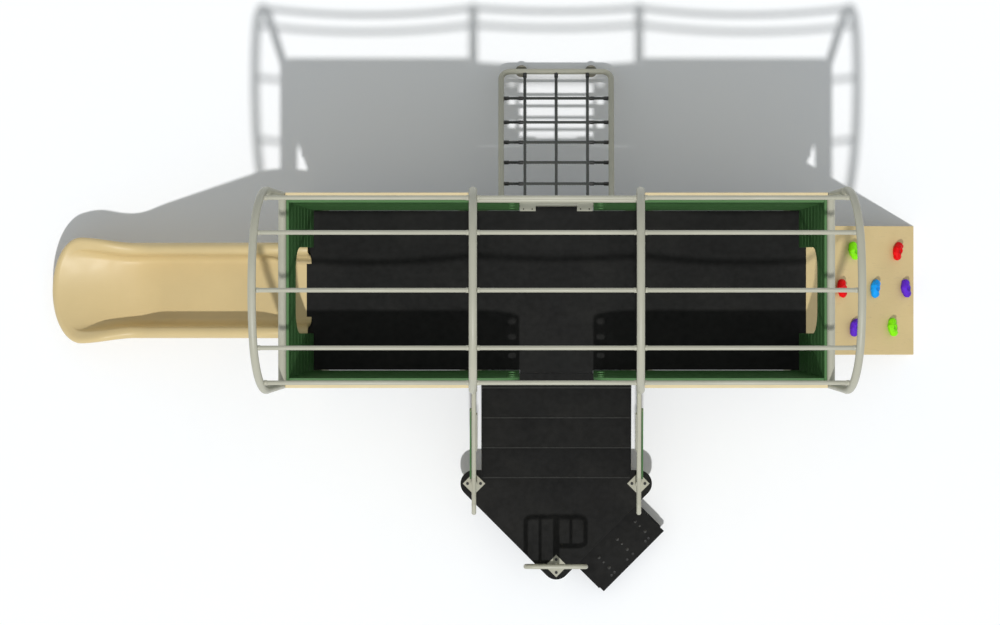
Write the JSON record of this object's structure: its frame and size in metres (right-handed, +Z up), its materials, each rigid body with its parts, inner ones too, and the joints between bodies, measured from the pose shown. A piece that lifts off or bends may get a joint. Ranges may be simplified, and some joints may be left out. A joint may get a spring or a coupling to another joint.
{
  "type": "play structure with slide",
  "caption": "Covered-wagon play structure: deck under sagging canopy bars, slide, climbing wall, rope net, stairs and transfer platform.",
  "frame": {"origin": "centre of the bounding box at ground level", "axes": "+X from the slide's end to the climbing wall's end, +Y from the stairs' side to the rope net's side, +Z up"},
  "size_m": [6.363, 3.8888, 3.043],
  "materials": {
    "tube_paint": "satin powder coat",
    "green_panel": "lightly textured sheet",
    "beige_panel": "lightly textured sheet",
    "climb_panel": "lightly textured sheet",
    "slide_plastic": "moulded, satin",
    "deck_coating": "thick matt coating",
    "rope": "twisted cord",
    "ferrule": "pressed, matt",
    "bolt_steel": "satin",
    "hold_lime": "fine grained",
    "hold_red": "fine grained",
    "hold_blue": "fine grained",
    "hold_purple": "fine grained"
  },
  "bodies": {
    "root": {"hoop_mid_left": "tube_paint", "hoop_mid_right": "tube_paint", "hoop_end_left": "tube_paint", "hoop_end_right": "tube_paint", "end_rails": "tube_paint", "far_header_rail": "tube_paint", "canopy_ridge_bar": "tube_paint", "canopy_upper_bars": "tube_paint", "canopy_lower_bars": "tube_paint", "deck_frame": "tube_paint", "wagon_posts": "tube_paint", "slide_exit_leg": "tube_paint", "climb_wall_frame": "tube_paint", "net_frame": "tube_paint", "climber_brackets": "tube_paint", "transfer_posts": "tube_paint", "stair_rail_left": "tube_paint", "stair_rail_right": "tube_paint", "toddler_rails": "tube_paint", "rail_saddles": "tube_paint", "front_loop": "tube_paint", "net_feet": "tube_paint", "end_panel_left": "green_panel", "end_panel_right": "green_panel", "side_panel_near_left": "green_panel", "side_panel_near_right": "green_panel", "side_panel_far_left": "green_panel", "side_panel_far_right": "green_panel", "entry_panel_near_left": "green_panel", "entry_panel_near_right": "green_panel", "entry_panel_far_left": "green_panel", "entry_panel_far_right": "green_panel", "stair_panel_left": "green_panel", "stair_panel_right": "green_panel", "outer_panel_near_left": "beige_panel", "outer_panel_near_right": "beige_panel", "outer_panel_far_left": "beige_panel", "outer_panel_far_right": "beige_panel", "deck_left": "deck_coating", "deck_centre": "deck_coating", "deck_right": "deck_coating", "stair_landing": "deck_coating", "stair_treads": "deck_coating", "stair_stringers": "deck_coating", "transfer_deck": "deck_coating", "transfer_step": "deck_coating", "step_brackets": "deck_coating", "slide_chute": "slide_plastic", "climb_wall_panel": "climb_panel", "rope_net": "rope", "rope_ferrules": "ferrule", "hold_bolts": "bolt_steel", "flange_bolts": "bolt_steel", "climb_hold_1": "hold_lime", "climb_hold_2": "hold_red", "climb_hold_3": "hold_red", "climb_hold_4": "hold_blue", "climb_hold_5": "hold_purple", "climb_hold_6": "hold_purple", "climb_hold_7": "hold_lime"}
  },
  "joints": []
}
